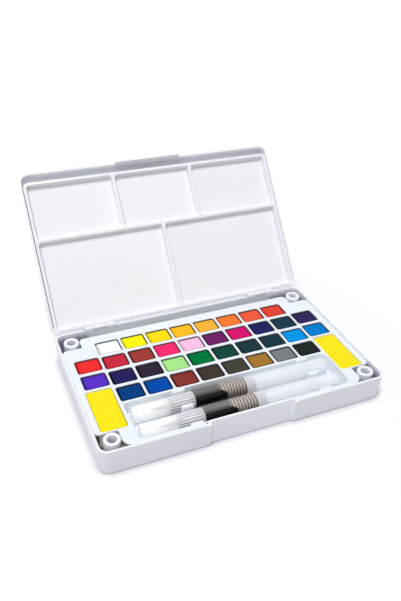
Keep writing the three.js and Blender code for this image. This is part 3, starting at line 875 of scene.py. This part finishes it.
def make_tray():
    mould = Mould()
    plate_low, edge = TRAY_TOP - TRAY_PLATE, 0.3
    levels = [(0, plate_low)] + arc((0, TRAY_TOP - edge), (edge, TRAY_TOP), 3)
    plate = mould.walls([at_height(tray_outline(inset), z) for inset, z in levels])
    mouths = []
    hollows = [("paint_" + name, 0.2, 1.8) for name in PAINTS]
    hollows += [("sponge_" + side, 0.3, 2.0) for side in ("left", "right")]
    for name, gap, radius in hollows:
        low, high = node_box(name)
        mouths.append(pocket(mould, footprint(low, high, gap), radius, low.z))
    mouths.append(pocket(mould, BAY, BAY_CORNERS, BAY_FLOOR, steps=8, fillet=1.0))
    mould.cap([plate[-1], *mouths], up=True)
    under = rounded(BLOCK, 1.0, 3)
    block = mould.walls([at_height(under, z) for z in (BLOCK_LOW, plate_low)])
    mould.cap([plate[0], block[1]], up=False)
    mould.cap([block[0]], up=False)
    for x in CLIPS_X:
        clips(mould, x)
    tray = mould.build("paint_tray", tray_white)
    stand_for(tray, "case", "pan_tray")


def make_cakes():
    edge, gap, radius = 0.45, 0.3, 1.6
    for name, colour in PAINTS.items():
        low, high = node_box("paint_" + name)
        levels = [(gap, low.z)] + arc((gap, high.z - edge), (gap + edge, high.z))
        box = footprint(low, high)
        mould = Mould().stack([box_ring(box, -inset, z, radius, 5) for inset, z in levels])
        pigment = pressed_paint("paint_" + name, srgb(*colour), low * MM, high * MM)
        cake = mould.build("cake_" + name, pigment)
        stand_for(cake, "case", "paint_" + name)


FOAM_GRID, PORE_SEED = 0.0003, 7


def make_sponges():
    """Each sponge is a block of foam with soft edges and torn pores."""
    for side in ("left", "right"):
        low, high = node_box("sponge_" + side)
        soft = bmesh.new()
        bmesh.ops.create_cube(soft, size=1)
        bmesh.ops.scale(soft, vec=high - low, verts=soft.verts)
        bmesh.ops.bevel(
            soft, geom=soft.edges[:], offset=1.4, segments=4, profile=0.5, affect="EDGES"
        )
        bmesh.ops.translate(soft, vec=(low + high) / 2, verts=soft.verts)
        bmesh.ops.scale(soft, vec=(MM, MM, MM), verts=soft.verts)
        mesh = bpy.data.meshes.new("foam_sponge_" + side)
        soft.to_mesh(mesh)
        soft.free()
        mesh.materials.append(yellow_foam)
        sponge = placed("foam_sponge_" + side, mesh)
        remesh = sponge.modifiers.new("even_grid", "REMESH")
        remesh.mode = "VOXEL"
        remesh.voxel_size = FOAM_GRID
        work_in(sponge)
        roughen(sponge, low * MM, high * MM)
        smooth(sponge, 80)
        stand_for(sponge, side + "_sponge", "sponge_" + side)


def roughen(sponge, low, high):
    """Sinks pores into the foam's skin, and never lets a point leave the sponge's own box."""
    large, large_depth, small, small_depth = 420, 0.00012, 1100, 0.00016
    noise.seed_set(PORE_SEED)
    normals = [v.normal.copy() for v in sponge.data.vertices]
    for vertex, normal in zip(sponge.data.vertices, normals):
        coarse = noise.noise(vertex.co * large)
        fine = noise.noise(vertex.co * small)
        depth = large_depth * max(0.0, coarse + 0.3) + small_depth * max(0.0, fine)
        place = vertex.co - normal * depth
        for axis in range(3):
            place[axis] = min(max(place[axis], low[axis]), high[axis])
        vertex.co = place


# The water brushes


def repeat_group():
    """A node group that sets copies of one shape along a step, round an axis, or scattered."""
    group = bpy.data.node_groups.new("repeat_shape", "GeometryNodeTree")
    sockets = (
        ("Shape", "Geometry", "INPUT"),
        ("Count", "Int", "INPUT"),
        ("Start", "Vector", "INPUT"),
        ("Step", "Vector", "INPUT"),
        ("Turn", "Float", "INPUT"),
        ("Wander", "Float", "INPUT"),
        ("Innermost", "Float", "INPUT"),
        ("Seed", "Int", "INPUT"),
        ("Finish", "Material", "INPUT"),
        ("Copies", "Geometry", "OUTPUT"),
    )
    for name, kind, way in sockets:
        group.interface.new_socket(name, socket_type="NodeSocket" + kind, in_out=way)
    made = Nodes(group)

    def given(name):
        return made.node("NodeGroupInput", output=name)

    def chance(low, high, **more):
        return made.node(
            "FunctionNodeRandomValue", {"data_type": "FLOAT"}, {2: low, 3: high, **more}, output=1
        )

    index = made.node("GeometryNodeInputIndex")
    along = made.node(
        "ShaderNodeVectorMath",
        {"operation": "MULTIPLY_ADD"},
        {0: given("Step"), 1: index, 2: given("Start")},
    )
    points = made.node("GeometryNodePoints", values={"Count": given("Count"), "Position": along})
    stray = chance(0.0, given("Wander"), Seed=given("Seed"))
    turn = index.maths("MULTIPLY_ADD", given("Turn"), stray)
    euler = made.node("ShaderNodeCombineXYZ", values={"X": turn})
    depth = chance(given("Innermost"), 1.0, ID=index, Seed=given("Count"))
    spread = depth.maths("SQRT")
    copies = made.node(
        "GeometryNodeInstanceOnPoints",
        values={
            "Points": points,
            "Instance": given("Shape"),
            "Rotation": made.node("FunctionNodeEulerToRotation", values={0: euler}),
            "Scale": made.node("ShaderNodeCombineXYZ", values={"X": 1.0, "Y": spread, "Z": spread}),
        },
    )
    real = made.node("GeometryNodeRealizeInstances", values={0: copies})
    dressed = made.node("GeometryNodeSetMaterial", values={0: real, "Material": given("Finish")})
    made.node("NodeGroupOutput", values={"Copies": dressed})
    return group


REPEAT = repeat_group()


def repeat(main, shape, centre, **wanted):
    """Repeats the shape by the node group and joins the copies to the main piece."""
    change = shape.modifiers.new("repeat", "NODES")
    change.node_group = REPEAT
    for item in REPEAT.interface.items_tree:
        if item.in_out == "INPUT" and item.name in wanted:
            change[item.identifier] = wanted[item.name]
    work_in(shape)
    shape.data.transform(Matrix.Translation(Vector((0, *centre)) * MM))
    whole = bmesh.new()
    whole.from_mesh(main.data)
    whole.from_mesh(shape.data)
    bpy.data.objects.remove(shape)
    whole.to_mesh(main.data)
    whole.free()


def make_cap(name, centre):
    """A clear cup with a round end, and lengthwise ridges over its open part."""
    end, wall, tip, mouth = 0.8, 0.9, 5.6, 5.9
    outer = [(BRUSH_LEFT, 0)] + arc((BRUSH_LEFT, tip - end), (BRUSH_LEFT + end, tip), 5)
    outer += [(CAP_END - 0.25, mouth), (CAP_END, mouth - 0.25), (CAP_END, mouth - wall + 0.15)]
    inner = [(CAP_END - 0.2, mouth - wall), (BRUSH_LEFT + wall + 0.7, tip - wall)]
    inner += [(BRUSH_LEFT + wall, tip - wall - 0.7), (BRUSH_LEFT + wall, 0)]
    start = BRUSH_LEFT + (CAP_END - BRUSH_LEFT) * RIDGES_SHARE
    clear_cap = cap_plastic(
        "cap_plastic_" + name, srgb(250, 251, 252), srgb(96, 92, 110), centre, start * MM
    )
    cap = Mould().turned(outer + inner, centre, 64).build("cap_" + name, clear_cap)
    stops = ((start, -0.12), (start + 0.8, 0.24), (CAP_END - 0.6, 0.28), (CAP_END - 0.15, -0.1))
    angles = [i / 8 * math.pi - math.pi / 2 for i in range(9)]
    sunk, half = 0.3, 0.66
    rings = []
    for x, rise in stops:
        base = mouth - (mouth - tip) * (CAP_END - x) / (CAP_END - BRUSH_LEFT) - sunk
        rings.append(
            [
                Vector((x, half * math.sin(a) * (0.5 + rise), base + (sunk + rise) * math.cos(a)))
                for a in angles
            ]
        )
    ridge = Mould().bar(rings).build("cap_ridge_" + name, clear_cap)
    turn = math.tau / CAP_RIDGES
    repeat(cap, ridge, centre, Count=CAP_RIDGES, Turn=turn, Innermost=1.0, Finish=clear_cap)
    stand_for(cap, name + "_brush", "brush_" + name + "_cap")


def tuft_radius(share):
    """The tuft's outline, from its root at 0 to its point at 1."""
    stops = ((0.0, 1.6), (0.34, 1.95), (0.67, 1.25), (1.0, 0.16))
    for (a, low), (b, high) in zip(stops, stops[1:]):
        if share <= b:
            return low + (high - low) * (share - a) / (b - a)
    return stops[-1][1]


def make_tuft(name, centre):
    """Fine tapered hairs set round a slim core, drawn together to a point."""
    root, point, parts, core_share = -44.6, -62.1, 8, 0.72
    length = root - point
    core = [(root, 0), (root, 1.2)]
    for i in range(1, parts):
        core.append((root - length * i / parts, core_share * tuft_radius(i / parts)))
    core.append((point + 0.6, 0))
    tuft = Mould().turned(core, centre, 16).build("tuft_" + name, tuft_hair)
    rings = []
    for share in (i / parts for i in range(parts + 1)):
        half = 0.085 * (1 - 0.75 * share)
        out = tuft_radius(share) - 0.09
        x = root - length * (share - 0.002)
        rings.append([Vector((x, out + half * c, half * s)) for c, s in circle(3)])
    hair = Mould().bar(rings).build("hair_" + name, tuft_hair)
    repeat(
        tuft,
        hair,
        centre,
        Count=HAIR_COUNT,
        Wander=math.tau,
        Innermost=0.35,
        Seed=HAIR_SEED,
        Finish=tuft_hair,
    )
    stand_for(tuft, name + "_brush", "brush_" + name + "_bristles")


def make_ferrule(name, centre):
    start, middle, end = -44.762, -40.307, FERRULE_END
    profile = [(start, 0), (start, 2.15), (start + 0.15, 2.3), (middle - 0.15, 2.55)]
    profile += [(middle, 2.65), (middle + 0.05, 3.35), (middle + 0.25, 3.5)]
    profile += [(end - 1.2, 3.72), (end - 1.0, 3.6), (end - 0.6, 3.6), (end - 0.4, 3.75)]
    profile += [(end, 3.8), (end, 0)]
    ferrule = Mould().turned(profile, centre, 40).build("ferrule_" + name, ferrule_white)
    stand_for(ferrule, name + "_brush", "brush_" + name + "_ferrule")


def make_grip(name, centre):
    """A smooth black front, nine ribs behind it and a plug that goes into the barrel."""
    neck, shoulder, core, plug = 4.75, 5.9, BRUSH_RADIUS - RIB_DEPTH, 5.2
    crest, plug_end = BRUSH_RADIUS - CREST_DROP, GRIP_END + 7.5
    # The grey is a painted highlight, and the groove and crest tones are painted shade and light
    grip_finish = grip_plastic(
        "grip_plastic_" + name,
        front=srgb(9, 9, 11),
        highlight_grey=srgb(168, 166, 162),
        groove=srgb(128, 119, 113),
        crest=srgb(202, 191, 184),
        centre=centre,
    )
    profile = [(FERRULE_END, 0), (FERRULE_END, neck - 0.2), (FERRULE_END + 0.2, neck)]
    profile += [(CAP_END, neck)] + arc((CAP_END, shoulder), (CAP_END + 0.5, BRUSH_RADIUS))
    profile += [(RIBS_FROM + 0.2, BRUSH_RADIUS), (RIBS_FROM + 0.75, core)]
    profile += [(GRIP_END - 0.75, core), (GRIP_END - 0.3, crest)]
    profile += [(GRIP_END, BRUSH_RADIUS - 0.1), (GRIP_END, plug)]
    profile += [(plug_end - 0.2, plug), (plug_end, plug - 0.2), (plug_end, 0)]
    grip = Mould().turned(profile, centre, 64).build("grip_" + name, grip_finish)
    half = RIB_PITCH * 0.42
    side = [(half * 0.4, crest), (half * 0.72, core + 0.12), (half, core - 0.3)]
    bead = [(-x, radius) for x, radius in reversed(side)] + [(0, BRUSH_RADIUS)] + side
    rib = Mould().turned(bead + bead[:1], (0, 0), 64).build("rib_" + name, grip_finish)
    repeat(
        grip,
        rib,
        centre,
        Count=RIB_COUNT - 1,
        Start=((RIBS_FROM + RIB_PITCH) * MM, 0, 0),
        Step=(RIB_PITCH * MM, 0, 0),
        Innermost=1.0,
        Finish=grip_finish,
    )
    stand_for(grip, name + "_brush", "brush_" + name + "_grip")


def make_barrel(name, centre):
    """A frosted tube with a collar at the grip and a round end, drawn from the inside out."""
    round_end, wall, end, collar = 2.6, 0.9, 6.2, BRUSH_RADIUS - 0.12
    profile = [(BARREL_END - wall, 0), (BARREL_END - wall, end - round_end)]
    profile += [(BARREL_END - round_end, end - wall), (GRIP_END, 5.35)]
    profile += [(GRIP_END, BRUSH_RADIUS - 0.2), (GRIP_END + 0.2, BRUSH_RADIUS)]
    profile += [(GRIP_END + 1.6, BRUSH_RADIUS), (GRIP_END + 1.8, collar)]
    profile += [(GRIP_END + 2.1, collar), (GRIP_END + 2.3, BRUSH_RADIUS - 0.02)]
    profile += arc((BARREL_END - round_end, end), (BARREL_END, end - round_end), 8, hollow=True)
    profile += [(BARREL_END, 0)]
    barrel = Mould().turned(profile, centre, 64).build("barrel_" + name, frosted_barrel)
    stand_for(barrel, name + "_brush", "brush_" + name + "_barrel")


def make_brushes():
    for name, y in BRUSH_Y.items():
        for make in (make_cap, make_tuft, make_ferrule, make_grip, make_barrel):
            make(name, (y, BRUSH_Z))


# The lid and its palette, drawn closed and then turned open about the hinge

# Each front plate as left, right, low and high, with the radii of its corners
LIP, LIP_CORNERS, LIP_THICK = (-30.0, 25.0, 15.5, 24.6), (2.5, 2.5, 0.5, 0.5), 1.9
SCOOP, SCOOP_CORNERS = (-15.5, 10.5, 11.0, 19.9), (2.5, 2.5, 2.5, 2.5)

# The palette as left, right, front and back, and its walls and ribs
PALETTE = (-104.2, 104.5, -55.5, 61.3)
PALETTE_WALL, RIB_HALF, RIB_Y, RIB_X = 2.2, 1.15, -9.87, 33.03


def lid_ring(inset, height, front):
    """The lid's outline, drawn in by inset, and by front as well where it meets the front."""
    draft = LID_DRAFT * (height - CASE_HEIGHT) / (LID_TOP - CASE_HEIGHT)
    x, y = CASE_HALF_WIDTH - draft, CASE_HALF_DEPTH - draft
    return box_ring((-x, x, front - y, y), -inset, height, CASE_CORNER)


def front_plate(box, radii, levels):
    """A plate that stands along X: the box is in X and Z, and levels are pairs of inset and Y."""
    rings = []
    for inset, y in levels:
        outline = rounded(box_corners(box, -inset), [r - inset for r in radii], 6)
        rings.append([Vector((p[0], y, p[1])) for p in outline])
    return Mould().bar(rings)


def make_lid():
    low, top, edge, rim, fillet = LID_LOW, LID_TOP, 1.3, 0.35, 0.8
    inside = top - LID_PANEL
    outer = arc((edge, top), (0, top - edge), 6, hollow=True) + arc((0, low + rim), (rim, low), 3)
    inner = arc((LID_WALL - rim, low), (LID_WALL, low + rim), 3, hollow=True)
    inner += arc((LID_WALL, inside - fillet), (LID_WALL + fillet, inside), 5)
    rings = [lid_ring(inset, z, 0.0) for inset, z in outer]
    rings += [lid_ring(inset, z, LID_FRONT_WALL - LID_WALL) for inset, z in inner]
    lid = Mould().stack(rings).build("lid", case_white, opened)
    front = -CASE_HALF_DEPTH
    back = front + LIP_THICK
    levels = [(0.35, front), (0.0, front + 0.35), (0.0, back - 0.3), (0.3, back)]
    carve(lid, "UNION", front_plate(LIP, LIP_CORNERS, levels), opened)
    levels = [(0.0, front - 1), (0.0, front + 0.1), (0.6, front + 0.5)]
    carve(lid, "DIFFERENCE", front_plate(SCOOP, SCOOP_CORNERS, levels), opened)
    for side in (-1, 1):
        hinge_half(lid, side, LID_KNUCKLES, LID_ROOM)
    smooth(lid)
    stand_for(lid, "lid", "lid_shell")


def make_palette():
    """A tray with three wells at the lid's front and two at the hinge."""
    rim, top, floor = 21.3, 26.9, 25.8
    edge, brow, slope, fillet = 0.35, 1.3, 0.7, 1.2
    mould = Mould()
    levels = arc((brow, top), (0, top - brow), 6, hollow=True)
    levels += arc((0, rim + edge), (edge, rim), 3)
    rows = mould.walls([box_ring(PALETTE, -inset, z, 4) for inset, z in levels])
    mould.cap([rows[0]], up=True)
    levels = arc((edge, rim), (0, rim + edge), 3, hollow=True)
    levels += arc((-slope, floor - fillet), (-slope - fillet, floor), 6)
    left, right, front, back = PALETTE
    left, right = left + PALETTE_WALL, right - PALETTE_WALL
    near, far = (RIB_Y + RIB_HALF, back - PALETTE_WALL), (front + PALETTE_WALL, RIB_Y - RIB_HALF)
    mouths = []
    for well in (
        (left, -RIB_HALF, *near),
        (RIB_HALF, right, *near),
        (left, -RIB_X - RIB_HALF, *far),
        (-RIB_X + RIB_HALF, RIB_X - RIB_HALF, *far),
        (RIB_X + RIB_HALF, right, *far),
    ):
        rings = mould.walls([box_ring(well, grow, z, 2.6) for grow, z in levels])
        mould.cap([rings[-1]], up=False)
        mouths.append(rings[0])
    mould.cap([rows[-1], *mouths], up=False)
    palette = mould.build("palette", palette_white, opened)
    stand_for(palette, "palette", "mixing_palette")


# The camera, the light and the table

# The camera's place in metres, its turn in degrees and its focal length in pixels
CAMERA_PLACE = (-0.16305, -0.31005, 0.3057)
CAMERA_TURN = (52.943, -1.832, -22.159)
SENSOR_WIDTH, FOCAL_PIXELS, PHOTO_HEIGHT = 36, 612.1, 601
FRAMING_SHIFT = (0.0313, 0.0503)

# The light, and the floor's tones with how far its glow and its shade at the box's foot reach
SKY_LIGHT, SKY_TINT = 0.42, (0.92, 0.94, 1.0, 1.0)
LAMP_PLACE, LAMP_SIZE, LAMP_POWER = (-0.62, -0.46, 2.26), 0.9, 40
LAMP_TARGET = (0, 0.03, 0.02)
TABLE, TABLE_TONE = (-12.0, 12.0, -12.0, 12.0), (0.69, 0.69, 0.71, 1.0)
TABLE_GLOW, GLOW_REACH = 0.28, (0.16, 0.5)
FOOT_REACH, FOOT_SHADE = 0.008, (0.5, 0.9)


def make_camera():
    view = bpy.data.cameras.new("photo_view")
    view.sensor_width = SENSOR_WIDTH
    view.lens = SENSOR_WIDTH * (FOCAL_PIXELS / PHOTO_HEIGHT)
    view.shift_x, view.shift_y = FRAMING_SHIFT
    view.clip_start, view.clip_end = 0.01, 50
    camera = placed("photo_view", view)
    camera.location = CAMERA_PLACE
    camera.rotation_euler = [math.radians(a) for a in CAMERA_TURN]
    bpy.context.scene.camera = camera


def make_sky():
    """White where it is seen, and a softer, cooler light on surfaces."""
    world = bpy.data.worlds.new("studio")
    bpy.context.scene.world = world
    world.use_nodes = True
    sky = Nodes(world.node_tree)
    seen = sky.seen()
    strength = sky.node("ShaderNodeMapRange", values={"Value": seen, "To Min": SKY_LIGHT})
    light = sky.node(
        "ShaderNodeBackground",
        values={"Color": sky.mix(seen, SKY_TINT, WHITE), "Strength": strength},
    )
    sky.node("ShaderNodeOutputWorld", values={"Surface": light})


def make_lamp():
    lamp = bpy.data.lights.new("softbox", "AREA")
    lamp.shape = "DISK"
    lamp.size = LAMP_SIZE
    lamp.energy = LAMP_POWER
    made = placed("softbox", lamp)
    made.location = LAMP_PLACE
    made.rotation_mode = "QUATERNION"
    aim = Vector(LAMP_TARGET) - Vector(LAMP_PLACE)
    made.rotation_quaternion = aim.to_track_quat("-Z", "Y")


def make_floor():
    """A pale table that glows white far out, with a shadow painted where the box stands on it."""
    made = Finish("table_paper")
    grain = made.noise(60, detail=2)
    seen = made.seen()
    x, y, _ = made.spot()
    away = (x * x + y * y).maths("SQRT")
    glow = made.mix(made.ramp(away, *GLOW_REACH), (TABLE_GLOW,) * 3 + (1.0,), WHITE)
    nearby = made.node(
        "ShaderNodeAmbientOcclusion", {"samples": 12}, {"Distance": FOOT_REACH}, output="AO"
    )
    # Painted shadow: near the box the table is darkened for the camera and loses its glow
    clear = made.ramp(nearby, *FOOT_SHADE)
    tone = made.tones(grain, TABLE_TONE, 0.99, 1.01)
    paper = made.surface(
        Base_Color=made.mix(seen * (1.0 - clear), tone, shade(TABLE_TONE, 0.88)),
        Roughness=0.9,
        Specular_IOR_Level=0.0,
        Emission_Color=made.mix(seen, BLACK, made.mix(clear, BLACK, glow)),
        Emission_Strength=1.0,
    )
    mesh = bpy.data.meshes.new("table_top")
    mesh.from_pydata(at_height(box_corners(TABLE), 0), [], [(0, 1, 2, 3)])
    mesh.materials.append(paper)
    placed("table_top", mesh)


make_case()
make_pins()
make_sockets()
make_tray()
make_cakes()
make_sponges()
make_brushes()
make_lid()
make_palette()
make_camera()
bpy.context.scene.view_settings.view_transform = "Standard"
make_sky()
make_lamp()
make_floor()
